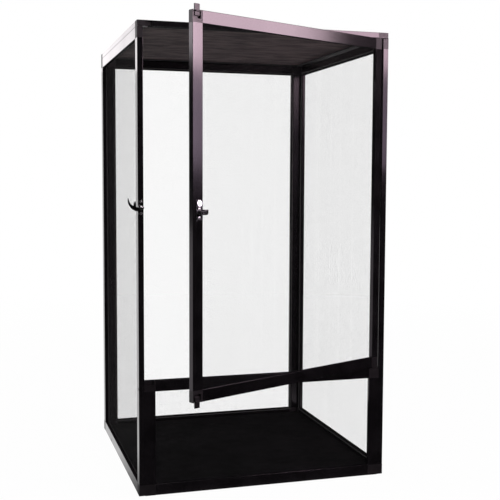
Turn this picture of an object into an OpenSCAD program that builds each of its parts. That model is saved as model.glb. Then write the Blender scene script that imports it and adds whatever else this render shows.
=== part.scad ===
// Free-standing screen terrarium. Framed mesh panels stand round a solid floor
// board and carry a framed roof; a pivoted screen door closes the front above a
// fixed panel. X runs to the right, the front faces -Y, Z is up. The origin is
// on the underside of the floor board, at its centre. Sizes are in millimetres.

/* [Cage] */
// Width of the cage across the front
cage_w = 450; // [350:10:900]
// Depth of the cage from front to back
cage_d = 450; // [350:10:900]
// Height of the cage
cage_h = 800; // [700:10:1500]
// Height of the fixed panel under the door
front_panel_h = 199; // [100:1:350]

/* [Frame bars] */
// Face width of a frame bar
bar_w = 19; // [18:0.5:26]
// Thickness of a bar, and so of every panel
bar_t = 9.5; // [9:0.5:13]
// Wall of the hollow bar
bar_wall = 1.2; // [0.8:0.1:1.5]
// Radius along the outer edges of a bar
edge_r = 0.6; // [0.2:0.1:0.8]
// Width of the step that the mesh lies in
rebate_w = 5; // [4:0.5:6]
// Depth of that step below the inner face
rebate_d = 3.6; // [3:0.1:4.2]

/* [Corner blocks] */
// Radius on the outer corner of a block
block_r = 1.6; // [0.5:0.1:3]
// Length of the tongues pushed into the bars
tongue_len = 22; // [10:1:40]
// Play between a tongue and its bar
tongue_play = 0.15; // [0.1:0.05:0.3]

/* [Mesh] */
// Spacing of the wires as modelled
mesh_pitch = 34; // [20:1:60]
// Width of one modelled wire
wire_w = 1; // [0.6:0.1:2]
// Thickness of the mesh
mesh_t = 0.6; // [0.4:0.1:1]
// Width of the flat spline that holds the mesh in its step
spline_w = 3.2; // [2:0.1:3.6]
// Play round the mesh and the spline
seat_play = 0.1; // [0.05:0.05:0.3]

/* [Door] */
// Angle at which the door stands open
door_rest = 25; // [0:1:80]
// Gap between the hinge edge and the side panel
hinge_gap = 0.8; // [0.4:0.1:2]
// Gap between the free edge and the side panel
free_gap = 1; // [0.5:0.1:3]
// Gap above and below the door
door_gap = 1.2; // [0.8:0.1:3]
// Radius of the pivot pins
pin_r = 1.6; // [1.2:0.1:2.2]
// Length of a pin inside each piece that it joins
pin_in = 8; // [5:0.5:12]
// Running clearance of the pins, on the radius
pin_play = 0.05; // [0.02:0.01:0.1]
// Radius of the washer that carries the door
washer_r = 4; // [3:0.1:4.5]
// Play above that washer
washer_play = 0.15; // [0.1:0.05:0.3]

/* [Bolts] */
// Width of a sliding bolt
bolt_w = 9.5; // [6:0.5:10]
// Thickness of a sliding bolt
bolt_t = 2.4; // [1.6:0.1:3]
// Distance of a bolt from the free edge of the door
bolt_x = 5; // [3:0.5:6]
// Length of a bolt that stays inside its block
bolt_in = 8.6; // [6:0.1:8.6]
// Depth of a bolt behind the front face
bolt_set = 1.5; // [1.3:0.1:2]
// Play round a bolt in its block
bolt_play = 0.2; // [0.1:0.05:0.3]
// Play round a bolt in the notch that it passes into
notch_play = 0.5; // [0.3:0.1:1]
// Height of the finger window in a bolt block
window_h = 13.2; // [10:0.2:14]
// Width of that window
window_w = 13.6; // [12:0.2:15]

/* [Latch] */
// Height of the latch pivot above the ground
latch_z = 492; // [300:1:650]
// Height of the latch plate
plate_h = 28; // [24:1:40]
// Thickness of the latch plate and of the keeper plate
plate_t = 1.2; // [0.8:0.1:2]
// Height of the boss that the lever turns on
boss_h = 1.1; // [0.8:0.1:2]
// Thickness of the crescent lever
lever_t = 3.2; // [2:0.1:5]
// Play on each side of the lever
lever_play = 0.2; // [0.1:0.05:0.4]
// Outer radius of the crescent
crescent_r = 19; // [14:0.5:22]
// Radius of the scoop inside the crescent
scoop_r = 16; // [10:0.5:17]
// Radius of the lever's hub
hub_r = 4.6; // [3.6:0.1:5]
// Radius of the rivet that the lever turns on
rivet_r = 1.8; // [1.2:0.1:2.4]
// Radius of the rivet's head
rivet_head_r = 3.4; // [2.6:0.1:4]
// Height of the rivet's head
rivet_head_h = 1.3; // [0.8:0.1:2]
// Width of the keeper plate
keeper_w = 12; // [9:0.5:12]
// Height of the keeper plate
keeper_h = 31; // [26:1:40]
// Distance of the keeper plate from the free edge of the door
keeper_x = 6; // [4:0.5:7]
// Height of the keeper's hook
hook_h = 8; // [5:0.5:12]
// Thickness of the keeper's hook
hook_t = 1.4; // [1:0.1:2]
// Height of the raised cap at the top of the keeper
cap_h = 10; // [6:0.5:12]
// Thickness of that raised cap
cap_t = 1; // [0.4:0.1:1]

/* [Screws] */
// Radius of a panel screw
screw_r = 1.5; // [1:0.1:2]
// Radius of a panel screw's head
screw_head_r = 3; // [2.2:0.1:4]
// Depth of a countersunk head
screw_head_h = 1.1; // [0.8:0.1:1.2]
// Length of a panel screw
screw_len = 21.5; // [16:0.5:26]
// Radius of a latch screw
small_screw_r = 1.4; // [1:0.1:1.8]
// Radius of a latch screw's head
small_head_r = 2.6; // [2:0.1:3]
// Length of a latch screw
small_screw_len = 8; // [6:0.5:12]
// Clearance round every screw
screw_play = 0.05; // [0.02:0.01:0.1]

/* [Hidden] */
$fn = 32;
cut = 1;                                // how far a cutter runs past a face
join = 0.01;                            // how far fused shapes run into each other
side_h = cage_h - bar_t;                // the roof lies on the wall panels
inner_w = cage_w - 2 * bar_t;
inner_d = cage_d - 2 * bar_t;
front_y = -cage_d / 2;

hinge_x = inner_w / 2 - hinge_gap - bar_t / 2;
hinge_y = front_y + bar_t / 2;
door_w = inner_w - hinge_gap - free_gap;
door_h = side_h - front_panel_h - 2 * door_gap;
door_x = -inner_w / 2 + free_gap;
door_z = front_panel_h + door_gap;

notch_h = bar_t - bar_wall;             // a bolt stops one wall short of the far face
bolt_out = notch_h + door_gap - notch_play;
bolt_sunk = 0.4;                        // a drawn bolt lies this far below the door's edge
bolt_travel = bolt_out + bolt_sunk;
window_x = bolt_x + bolt_w - window_w + 0.7;
thumb_h = 2.2;
thumb_rise = 0.6;

latch_x = -cage_w / 2 + bar_t / 2;
plate_w = bar_t - 0.5;
screw_inset = 4;                        // from the end of a plate to its screw
plate_corner = 2;
plate_screw_z = plate_h / 2 - screw_inset;
lever_y = front_y - plate_t - boss_h - lever_play;
crescent_c = [-3.75, crescent_r - 6];   // centre of the outer arc from the pivot
scoop_c = [-5.25, scoop_r + 1];         // centre of the scoop from the pivot
crescent_top = 15.5;
lever_reach = norm([crescent_c[0] - sqrt(pow(crescent_r, 2) - pow(crescent_top - crescent_c[1], 2)),
    crescent_top]);
hook_x = latch_x + lever_reach + 4 * lever_play;    // wall that the turning tip clears
hook_front = front_y - plate_t - boss_h - 2 * lever_play - lever_t - lever_play;
keeper_left = door_x + keeper_x;
keeper_low = latch_z - keeper_h / 2 + 1;

// ---- finishes

module anodised() { color("#222226") children(); }
module moulded() { color("#46464c") children(); }
module chromed() { color("#c9ccd2") children(); }
module steel() { color("#8f9196") children(); }
module rubber() { color("#101012") children(); }
module woven() { color("#5a5a5e") children(); }

// ---- places: a panel is drawn with its inner face on z = 0, its width along x
// and its height along y, and these modules stand it up where it belongs

module in_left_wall() {
    translate([-cage_w / 2 + bar_t, cage_d / 2, 0]) rotate([90, 0, -90]) children();
}
module in_right_wall() {
    translate([cage_w / 2 - bar_t, front_y, 0]) rotate([90, 0, 90]) children();
}
module in_rear_wall() {
    translate([inner_w / 2, cage_d / 2 - bar_t, 0]) rotate([90, 0, 180]) children();
}
module in_front_wall() {
    translate([-inner_w / 2, front_y + bar_t, 0]) rotate([90, 0, 0]) children();
}
module in_roof() { translate([-cage_w / 2, front_y, side_h]) children(); }

// Swings what is drawn in the closed door's place to the angle it stands at
module on_door() {
    translate([hinge_x, hinge_y, 0]) rotate([0, 0, door_rest])
        translate([-hinge_x, -hinge_y, 0]) children();
}
module in_doorway() {
    on_door() translate([door_x, front_y + bar_t, door_z]) rotate([90, 0, 0]) children();
}

// ---- small helpers

module flip_x(on) { if (on) mirror([1, 0, 0]) children(); else children(); }
module flip_y(on) { if (on) mirror([0, 1, 0]) children(); else children(); }
module swap_xy() { mirror([1, -1, 0]) children(); }

// Rectangle with rounded corners, as true arcs
module rounded(w, h, r) {
    translate([r, 0]) square([w - 2 * r, h]);
    translate([0, r]) square([w, h - 2 * r]);
    for (x = [r, w - r], y = [r, h - r]) translate([x, y]) circle(r);
}

// Countersunk screw along -z, its head flush with z = 0
module screw(r, head_r, len, play = 0) {
    translate([0, 0, -screw_head_h]) cylinder(h = screw_head_h, r1 = r + play, r2 = head_r + play);
    translate([0, 0, -len - play]) cylinder(h = len + play - screw_head_h + join, r = r + play);
}
module panel_screw(play = 0) { screw(screw_r, screw_head_r, screw_len, play); }
module latch_screw(play = 0) { screw(small_screw_r, small_head_r, small_screw_len, play); }

// ---- one framed screen panel

// Section of the bar: x from the outer edge to the opening, y from the inner face.
// A pivoted bar has a full round outer edge.
module bar_section(pivoted = false) {
    chamber_x = chamber_start(pivoted);
    difference() {
        if (pivoted) {
            translate([bar_t / 2, bar_t / 2]) circle(bar_t / 2);
            translate([bar_t / 2, 0]) square([bar_w - bar_t / 2, bar_t]);
        } else {
            rounded(bar_w, bar_t, edge_r);
        }
        translate([bar_w - rebate_w, -cut]) square([rebate_w + cut, rebate_d + cut]);
        translate([chamber_x, bar_wall]) square([chamber_end() - chamber_x, bar_t - 2 * bar_wall]);
        translate([bar_w - rebate_w, rebate_d + bar_wall])
            square([rebate_w - bar_wall, bar_t - rebate_d - 2 * bar_wall]);
    }
}
function chamber_start(pivoted) = pivoted ? bar_t / 2 : bar_wall;
function chamber_end() = bar_w - rebate_w - bar_wall;

// A bar of a given length along y
module bar(len, pivoted = false) {
    translate([0, len, 0]) rotate([90, 0, 0]) linear_extrude(len) bar_section(pivoted);
}
module left_bar(w, h, pivoted = false) { translate([0, bar_w, 0]) bar(h - 2 * bar_w, pivoted); }
module right_bar(w, h, pivoted = false) {
    translate([w, 0, 0]) mirror([1, 0, 0]) left_bar(w, h, pivoted);
}
module bottom_bar(w, h) { swap_xy() left_bar(h, w); }
module top_bar(w, h) { translate([0, h, 0]) mirror([0, 1, 0]) bottom_bar(w, h); }

// Tongue along y that fills the main chamber of a bar
module tongue(pivoted = false) {
    from = chamber_start(pivoted) + tongue_play;
    translate([from, bar_w - cut, bar_wall + tongue_play])
        cube([chamber_end() - tongue_play - from, tongue_len + cut, bar_t - 2 * (bar_wall + tongue_play)]);
}
module corner_block(pivoted = false) {
    difference() {
        union() {
            intersection() {
                linear_extrude(bar_t) union() {
                    translate([block_r, 0]) square([bar_w - block_r, bar_w]);
                    translate([0, block_r]) square([bar_w, bar_w - block_r]);
                    translate([block_r, block_r]) circle(block_r);
                }
                if (pivoted) {
                    translate([0, bar_w, 0]) rotate([90, 0, 0]) linear_extrude(bar_w) union() {
                        translate([bar_t / 2, bar_t / 2]) circle(bar_t / 2);
                        translate([bar_t / 2, 0]) square([bar_w - bar_t / 2, bar_t]);
                    }
                } else {
                    cube([bar_w, bar_w, bar_t]);
                }
            }
            tongue(pivoted);
            swap_xy() tongue();
        }
        translate([bar_w - rebate_w, bar_w - rebate_w, -cut])
            cube([rebate_w + cut, rebate_w + cut, rebate_d + cut]);
    }
}
module corner_at(w, h, right, top, pivoted = false) {
    translate([right ? w : 0, top ? h : 0, 0]) flip_x(right) flip_y(top) corner_block(pivoted);
}
module panel_corners(w, h) {
    for (right = [false, true], top = [false, true]) corner_at(w, h, right, top);
}

// Mesh that lies in the step of the bars, with one open cell between wires
module panel_mesh(w, h) {
    inset = bar_w - rebate_w + seat_play;
    columns = max(1, round((w - 2 * bar_w) / mesh_pitch));
    rows = max(1, round((h - 2 * bar_w) / mesh_pitch));
    cell_w = (w - 2 * bar_w) / columns;
    cell_h = (h - 2 * bar_w) / rows;
    translate([0, 0, rebate_d - mesh_t]) linear_extrude(mesh_t) difference() {
        translate([inset, inset]) square([w - 2 * inset, h - 2 * inset]);
        for (i = [0 : columns - 1], j = [0 : rows - 1])
            translate([bar_w + i * cell_w + wire_w / 2, bar_w + j * cell_h + wire_w / 2])
                square([cell_w - wire_w, cell_h - wire_w]);
    }
}
module panel_spline(w, h) {
    out = bar_w - rebate_w + seat_play;
    in = out + spline_w;
    translate([0, 0, seat_play]) linear_extrude(rebate_d - mesh_t - seat_play) difference() {
        translate([out, out]) square([w - 2 * out, h - 2 * out]);
        translate([in, in]) square([w - 2 * in, h - 2 * in]);
    }
}

// ---- screws that join the panels

// Where screws pass through a side wall, as [y, z]
side_screw_places = [
    [front_y + bar_t / 2, bar_w / 2],
    [front_y + bar_t / 2, front_panel_h - bar_w + bar_t / 2],
    [cage_d / 2 - bar_t / 2, bar_w / 2],
    [cage_d / 2 - bar_t / 2, side_h - bar_w / 2],
    [-cage_d / 4, bar_t / 2],
    [cage_d / 4, bar_t / 2]];
module side_screws(right, play = 0) {
    for (place = side_screw_places)
        flip_x(!right) translate([cage_w / 2, place[0], place[1]]) rotate([0, 90, 0]) panel_screw(play);
}
module roof_screws(play = 0) {
    for (x = [-1, 1], y = [-1, 1])
        translate([x * (cage_w - bar_t) / 2, y * (cage_d - bar_w) / 2, cage_h]) panel_screw(play);
}
module all_panel_screws(play = 0) {
    side_screws(false, play);
    side_screws(true, play);
    roof_screws(play);
}

// ---- pivots and bolts of the door

module pivot_pin(z) {
    translate([hinge_x, hinge_y, z - pin_in]) cylinder(h = door_gap + 2 * pin_in, r = pin_r);
}
module pivot_bores() {
    for (z = [front_panel_h, side_h - door_gap])
        translate([hinge_x, hinge_y, z - pin_in - pin_play])
            cylinder(h = door_gap + 2 * (pin_in + pin_play), r = pin_r + pin_play);
}

// The bolts stand in the door's own frame: x from the free edge, y along its height
module bolt(top) {
    translate([0, top ? door_h : 0, 0]) flip_y(!top) {
        translate([bolt_x, -bolt_in, bar_t - bolt_set - bolt_t])
            linear_extrude(bolt_t) rounded(bolt_w, bolt_in + bolt_out, edge_r);
        translate([bolt_x + edge_r, -thumb_h - bolt_sunk, bar_t - bolt_set - join])
            cube([bolt_w - 2 * edge_r, thumb_h, bolt_set + thumb_rise + join]);
    }
}
module bolt_space(top) {
    deep = bar_t - bolt_set - bolt_t - bolt_play;
    translate([0, top ? door_h : 0, 0]) flip_y(!top) {
        translate([bolt_x - bolt_play, -bolt_in - bolt_travel - bolt_play, deep])
            cube([bolt_w + 2 * bolt_play, bolt_in + bolt_travel + bolt_play + cut, bolt_t + 2 * bolt_play]);
        translate([window_x, -window_h, deep]) cube([window_w, window_h + cut, bar_t - deep + cut]);
    }
}
// Notch, open to the front, that a bolt swings into as the door closes
module bolt_notch(z) {
    translate([door_x + bolt_x - 3 * notch_play, front_y - cut, z])
        cube([bolt_w + 6 * notch_play, bolt_set + bolt_t + notch_play + cut, notch_h + cut]);
}
module top_notch() { translate([0, 0, -cut]) bolt_notch(side_h); }
module bottom_notch() { bolt_notch(front_panel_h - notch_h); }

// ---- latch: crescent lever on the left wall's front edge, keeper on the door

module facing_front(x, y, z) { translate([x, y, z]) rotate([90, 0, 0]) children(); }

module lever_outline() {
    intersection() {
        difference() {
            translate(crescent_c) circle(crescent_r, $fn = 64);
            translate(scoop_c) circle(scoop_r, $fn = 64);
        }
        translate([-2 * crescent_r, -2 * crescent_r])
            square([2 * crescent_r + hub_r / 2, 2 * crescent_r + crescent_top]);
    }
    circle(hub_r);
    polygon([[-13.5, 2.5], [-8.3, -1], [-9.3, 10.8], [-12.3, 8.5]]);
}
module latch_screw_set(play = 0) {
    for (side = [-1, 1])
        facing_front(latch_x, front_y - plate_t, latch_z + side * plate_screw_z) latch_screw(play);
}
module keeper_screw_set(play = 0) {
    for (z = [screw_inset, keeper_h - cap_h - screw_inset])
        facing_front(keeper_left + keeper_w / 2, front_y - plate_t, keeper_low + z) latch_screw(play);
}

// ---- nodes

// Stands a bar in the left wall and drills what is screwed through it
module left_wall_bar() {
    anodised() difference() {
        in_left_wall() children();
        side_screws(false, screw_play);
        latch_screw_set(screw_play);
    }
}
module left_panel_rear_bar() { left_wall_bar() left_bar(cage_d, side_h); }
module left_panel_front_bar() { left_wall_bar() right_bar(cage_d, side_h); }
module left_panel_bottom_bar() { left_wall_bar() bottom_bar(cage_d, side_h); }
module left_panel_top_bar() { left_wall_bar() top_bar(cage_d, side_h); }
module left_panel_corners() {
    moulded() difference() {
        in_left_wall() panel_corners(cage_d, side_h);
        all_panel_screws(screw_play);
    }
}
module left_panel_mesh() { woven() in_left_wall() panel_mesh(cage_d, side_h); }
module left_panel_spline() { rubber() in_left_wall() panel_spline(cage_d, side_h); }
module left_panel_screws() { steel() side_screws(false); }

module right_wall_bar() {
    anodised() difference() {
        in_right_wall() children();
        side_screws(true, screw_play);
    }
}
module right_panel_front_bar() { right_wall_bar() left_bar(cage_d, side_h); }
module right_panel_rear_bar() { right_wall_bar() right_bar(cage_d, side_h); }
module right_panel_bottom_bar() { right_wall_bar() bottom_bar(cage_d, side_h); }
module right_panel_top_bar() { right_wall_bar() top_bar(cage_d, side_h); }
module right_panel_corners() {
    moulded() difference() {
        in_right_wall() panel_corners(cage_d, side_h);
        all_panel_screws(screw_play);
    }
}
module right_panel_mesh() { woven() in_right_wall() panel_mesh(cage_d, side_h); }
module right_panel_spline() { rubber() in_right_wall() panel_spline(cage_d, side_h); }
module right_panel_screws() { steel() side_screws(true); }

module rear_panel_right_bar() { anodised() in_rear_wall() left_bar(inner_w, side_h); }
module rear_panel_left_bar() { anodised() in_rear_wall() right_bar(inner_w, side_h); }
module rear_panel_bottom_bar() { anodised() in_rear_wall() bottom_bar(inner_w, side_h); }
module rear_panel_top_bar() { anodised() in_rear_wall() top_bar(inner_w, side_h); }
module rear_panel_corners() {
    moulded() difference() {
        in_rear_wall() panel_corners(inner_w, side_h);
        all_panel_screws(screw_play);
    }
}
module rear_panel_mesh() { woven() in_rear_wall() panel_mesh(inner_w, side_h); }
module rear_panel_spline() { rubber() in_rear_wall() panel_spline(inner_w, side_h); }

module roof_bar() {
    anodised() difference() {
        in_roof() children();
        top_notch();
    }
}
module roof_panel_left_bar() { roof_bar() left_bar(cage_w, cage_d); }
module roof_panel_right_bar() { roof_bar() right_bar(cage_w, cage_d); }
module roof_panel_front_bar() { roof_bar() bottom_bar(cage_w, cage_d); }
module roof_panel_rear_bar() { roof_bar() top_bar(cage_w, cage_d); }
module roof_panel_corners() {
    moulded() difference() {
        in_roof() panel_corners(cage_w, cage_d);
        roof_screws(screw_play);
        pivot_bores();
        top_notch();
    }
}
module roof_panel_mesh() { woven() in_roof() panel_mesh(cage_w, cage_d); }
module roof_panel_spline() { rubber() in_roof() panel_spline(cage_w, cage_d); }
module roof_panel_screws() { steel() roof_screws(); }

module front_panel_left_bar() { anodised() in_front_wall() left_bar(inner_w, front_panel_h); }
module front_panel_right_bar() { anodised() in_front_wall() right_bar(inner_w, front_panel_h); }
module front_panel_bottom_bar() { anodised() in_front_wall() bottom_bar(inner_w, front_panel_h); }
module front_panel_top_bar() { anodised() in_front_wall() top_bar(inner_w, front_panel_h); }
module front_panel_corners() {
    moulded() difference() {
        in_front_wall() panel_corners(inner_w, front_panel_h);
        all_panel_screws(screw_play);
        pivot_bores();
        bottom_notch();
    }
}
module front_panel_mesh() { woven() in_front_wall() panel_mesh(inner_w, front_panel_h); }
module front_panel_spline() { rubber() in_front_wall() panel_spline(inner_w, front_panel_h); }

module floor_board() {
    moulded() difference() {
        translate([-inner_w / 2, -inner_d / 2, 0]) cube([inner_w, inner_d, bar_t]);
        all_panel_screws(screw_play);
    }
}

module hinge_pins() {
    steel() {
        pivot_pin(front_panel_h);
        pivot_pin(side_h - door_gap);
    }
}
module hinge_washer() {
    rubber() translate([hinge_x, hinge_y, front_panel_h]) difference() {
        cylinder(h = door_gap - washer_play, r = washer_r);
        translate([0, 0, -cut]) cylinder(h = door_gap + 2 * cut, r = pin_r + pin_play);
    }
}

module door_latch_stile() {
    anodised() difference() {
        in_doorway() left_bar(door_w, door_h);
        on_door() keeper_screw_set(screw_play);
    }
}
module door_hinge_stile() { anodised() in_doorway() right_bar(door_w, door_h, true); }
module door_top_rail() { anodised() in_doorway() top_bar(door_w, door_h); }
module door_bottom_rail() { anodised() in_doorway() bottom_bar(door_w, door_h); }
module door_hinge_blocks() {
    moulded() difference() {
        in_doorway() for (top = [false, true]) corner_at(door_w, door_h, true, top, true);
        pivot_bores();
    }
}
module door_bolt_blocks() {
    moulded() in_doorway() difference() {
        for (top = [false, true]) corner_at(door_w, door_h, false, top);
        for (top = [false, true]) bolt_space(top);
    }
}
module door_mesh() { woven() in_doorway() panel_mesh(door_w, door_h); }
module door_spline() { rubber() in_doorway() panel_spline(door_w, door_h); }
module top_bolt() { moulded() in_doorway() bolt(true); }
module bottom_bolt() { moulded() in_doorway() bolt(false); }

// Plate with a hook that the crescent slides behind, drawn in the closed door
module door_keeper() {
    chromed() on_door() difference() {
        union() {
            facing_front(keeper_left, front_y, keeper_low)
                linear_extrude(plate_t) rounded(keeper_w, keeper_h, plate_corner);
            facing_front(keeper_left, front_y - plate_t + join, keeper_low + keeper_h - cap_h)
                linear_extrude(cap_t) rounded(keeper_w, cap_h, 2 * plate_corner);
            translate([0, 0, latch_z - plate_corner - hook_h / 2]) linear_extrude(hook_h) keeper_hook();
        }
        keeper_screw_set(screw_play);
    }
}
// The hook seen from above: a foot on the plate, a wall, and a lip that turns back
module keeper_hook() {
    lip_x = hook_x - keeper_w;
    foot_x = keeper_left + keeper_w - plate_corner;
    translate([foot_x, front_y - plate_t]) square([hook_x + hook_t - foot_x, plate_t]);
    translate([hook_x, hook_front - hook_t]) square([hook_t, front_y - hook_front + hook_t]);
    translate([lip_x, hook_front - hook_t]) square([hook_x + hook_t - lip_x, hook_t]);
    translate([lip_x, hook_front - hook_t / 2]) circle(hook_t / 2);
}
module keeper_screws() { steel() on_door() keeper_screw_set(); }

module latch_plate() {
    chromed() difference() {
        union() {
            facing_front(latch_x - plate_w / 2, front_y, latch_z - plate_h / 2)
                linear_extrude(plate_t) rounded(plate_w, plate_h, plate_corner);
            facing_front(latch_x, front_y - plate_t + join, latch_z)
                cylinder(h = boss_h + join, r = rivet_head_r);
        }
        facing_front(latch_x, front_y + cut, latch_z)
            cylinder(h = plate_t + boss_h + 2 * cut, r = rivet_r + pin_play);
        latch_screw_set(screw_play);
    }
}
module latch_screws() { steel() latch_screw_set(); }
module latch_rivet() {
    grip = plate_t + boss_h + lever_t + 2 * lever_play;
    chromed() facing_front(latch_x, front_y, latch_z) {
        cylinder(h = grip + join, r = rivet_r);
        translate([0, 0, grip]) cylinder(h = rivet_head_h, r1 = rivet_head_r, r2 = 0.75 * rivet_head_r);
    }
}
module latch_lever() {
    chromed() facing_front(latch_x, lever_y, latch_z) linear_extrude(lever_t) difference() {
        lever_outline();
        circle(rivet_r + pin_play);
    }
}

left_panel_rear_bar();
left_panel_front_bar();
left_panel_bottom_bar();
left_panel_top_bar();
left_panel_corners();
left_panel_mesh();
left_panel_spline();
right_panel_front_bar();
right_panel_rear_bar();
right_panel_bottom_bar();
right_panel_top_bar();
right_panel_corners();
right_panel_mesh();
right_panel_spline();
rear_panel_right_bar();
rear_panel_left_bar();
rear_panel_bottom_bar();
rear_panel_top_bar();
rear_panel_corners();
rear_panel_mesh();
rear_panel_spline();
roof_panel_left_bar();
roof_panel_right_bar();
roof_panel_front_bar();
roof_panel_rear_bar();
roof_panel_corners();
roof_panel_mesh();
roof_panel_spline();
front_panel_left_bar();
front_panel_right_bar();
front_panel_bottom_bar();
front_panel_top_bar();
front_panel_corners();
front_panel_mesh();
front_panel_spline();
floor_board();
left_panel_screws();
right_panel_screws();
roof_panel_screws();
hinge_pins();
hinge_washer();
door_latch_stile();
door_hinge_stile();
door_top_rail();
door_bottom_rail();
door_hinge_blocks();
door_bolt_blocks();
door_mesh();
door_spline();
top_bolt();
bottom_bolt();
door_keeper();
keeper_screws();
latch_plate();
latch_screws();
latch_rivet();
latch_lever();
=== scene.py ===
"""A screen terrarium: framed mesh walls and roof, a pivoted screen door, bolts and a crescent latch.

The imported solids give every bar, block and board. This file dresses them, and models
the woven mesh, the cords that hold it, the screws, the bolts and the latch in full.
"""

import logging
from contextlib import contextmanager
from dataclasses import dataclass, field
from enum import Enum
from math import cos, radians, sin, sqrt
from typing import Iterator, Sequence

import bpy
from mathutils import Matrix, Vector


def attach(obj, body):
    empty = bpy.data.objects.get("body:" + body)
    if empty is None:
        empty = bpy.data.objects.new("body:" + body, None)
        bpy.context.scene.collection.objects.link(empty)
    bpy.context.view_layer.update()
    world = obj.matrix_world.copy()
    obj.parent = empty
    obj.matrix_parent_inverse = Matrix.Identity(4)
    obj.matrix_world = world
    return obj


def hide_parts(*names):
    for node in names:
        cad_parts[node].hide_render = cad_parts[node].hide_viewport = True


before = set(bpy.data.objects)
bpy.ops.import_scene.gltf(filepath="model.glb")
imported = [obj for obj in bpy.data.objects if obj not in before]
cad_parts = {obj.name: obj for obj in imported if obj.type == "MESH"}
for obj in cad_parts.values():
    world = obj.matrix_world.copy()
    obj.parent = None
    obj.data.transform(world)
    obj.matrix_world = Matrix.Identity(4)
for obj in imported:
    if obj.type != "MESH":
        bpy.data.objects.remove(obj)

log = logging.getLogger("terrarium")
MM = 0.001
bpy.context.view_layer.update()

Colour = tuple[float, float, float]
Limits = tuple[tuple[str, float, float], ...]
Piece = bpy.types.Object
Material = bpy.types.Material
Socket = bpy.types.NodeSocket

UP, DOWN = Vector((0, 0, 1)), Vector((0, 0, -1))
ALIGNED = 0.9


# -------- sizes

@dataclass(frozen=True)
class CageSizes:
    """Sizes that the solids were made to, in millimetres."""

    width: float = 450.0
    depth: float = 450.0
    height: float = 800.0
    front_panel: float = 199.0
    bar: float = 19.0
    thick: float = 9.5
    step: float = 5.0
    step_depth: float = 3.6
    mesh_thick: float = 0.6
    door_angle: float = 25.0
    hinge_gap: float = 0.8
    free_gap: float = 1.0
    door_gap: float = 1.2

    @property
    def wall_height(self) -> float:
        """Height of the wall panels, which carry the roof."""
        return self.height - self.thick

    @property
    def inner(self) -> float:
        """Clear width between the side walls."""
        return self.width - 2 * self.thick

    @property
    def door_width(self) -> float:
        """Width of the door."""
        return self.inner - self.hinge_gap - self.free_gap

    @property
    def door_height(self) -> float:
        """Height of the door."""
        return self.wall_height - self.front_panel - 2 * self.door_gap

    @property
    def hinge(self) -> Vector:
        """Place of the door's axis, seen from above."""
        return Vector((self.inner / 2 - self.hinge_gap - self.thick / 2, (self.thick - self.depth) / 2, 0))


CAGE = CageSizes()


def turn(angle: float, axis: str) -> Matrix:
    """Rotation matrix of an angle in degrees about X, Y or Z."""
    return Matrix.Rotation(radians(angle), 4, axis)


def shift(x: float, y: float, z: float) -> Matrix:
    """Translation matrix of a move in millimetres."""
    return Matrix.Translation(Vector((x, y, z)) * MM)


def on_door() -> Matrix:
    """Matrix that swings the closed door's place to where the door stands."""
    x, y, _ = CAGE.hinge
    return shift(x, y, 0) @ turn(CAGE.door_angle, "Z") @ shift(-x, -y, 0)


# -------- bench: bpy.ops helpers

def clear_selection() -> None:
    """Deselects every object."""
    bpy.ops.object.select_all(action="DESELECT")


def pick(*objects: Piece) -> Piece:
    """Selects only these objects and makes the first one active.

    Args:
        objects: The objects to select.

    Returns:
        The first of them.
    """
    clear_selection()
    for item in objects:
        item.select_set(True)
    bpy.context.view_layer.objects.active = objects[0]
    return objects[0]


@contextmanager
def editing(item: Piece, mode: str = "FACE") -> Iterator[None]:
    """Opens edit mode on one object with nothing selected.

    Args:
        item: The object to edit.
        mode: EDGE or FACE.
    """
    pick(item)
    bpy.ops.object.mode_set(mode="EDIT")
    bpy.ops.mesh.select_mode(type=mode)
    bpy.ops.mesh.select_all(action="DESELECT")
    try:
        yield
    finally:
        bpy.ops.object.mode_set(mode="OBJECT")


def choose_faces(item: Piece, way: Vector) -> None:
    """Selects in edit mode only the faces that look one way.

    Args:
        item: The object, in edit mode.
        way: The direction that they look in.
    """
    bpy.ops.mesh.select_all(action="DESELECT")
    bpy.ops.object.mode_set(mode="OBJECT")
    for face in item.data.polygons:
        face.select = face.normal.dot(way) > ALIGNED
    bpy.ops.object.mode_set(mode="EDIT")


def resize(across: float, along: float, at: Sequence[float]) -> None:
    """Scales what is selected in edit mode.

    Args:
        across: Scale along X.
        along: Scale along Y.
        at: The point that stays, in millimetres.
    """
    bpy.ops.transform.resize(value=(across, along, 1), center_override=[place * MM for place in at])


def extrude(rise: float) -> None:
    """Extrudes the selected face along Z, in millimetres."""
    bpy.ops.mesh.extrude_region_move(TRANSFORM_OT_translate={"value": (0, 0, rise * MM)})


def round_corners(item: Piece, radius: float, segments: int) -> Piece:
    """Rounds the edges of a solid that run along Z.

    Args:
        item: The solid.
        radius: Radius of the rounding in millimetres.
        segments: Faces across it.

    Returns:
        The solid.
    """
    mesh = item.data
    with editing(item, "EDGE"):
        bpy.ops.object.mode_set(mode="OBJECT")
        for edge in mesh.edges:
            a, b = (mesh.vertices[i].co for i in edge.vertices)
            edge.select = abs((b - a).normalized().dot(UP)) > ALIGNED
        bpy.ops.object.mode_set(mode="EDIT")
        bpy.ops.mesh.bevel(offset=radius * MM, segments=segments, affect="EDGES")
    return item


def make_solid(item: Piece, name: str) -> Piece:
    """Names a new primitive and puts its place into its mesh."""
    item.name = item.data.name = name
    pick(item)
    bpy.ops.object.transform_apply(location=True, rotation=True, scale=True)
    return item


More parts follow.
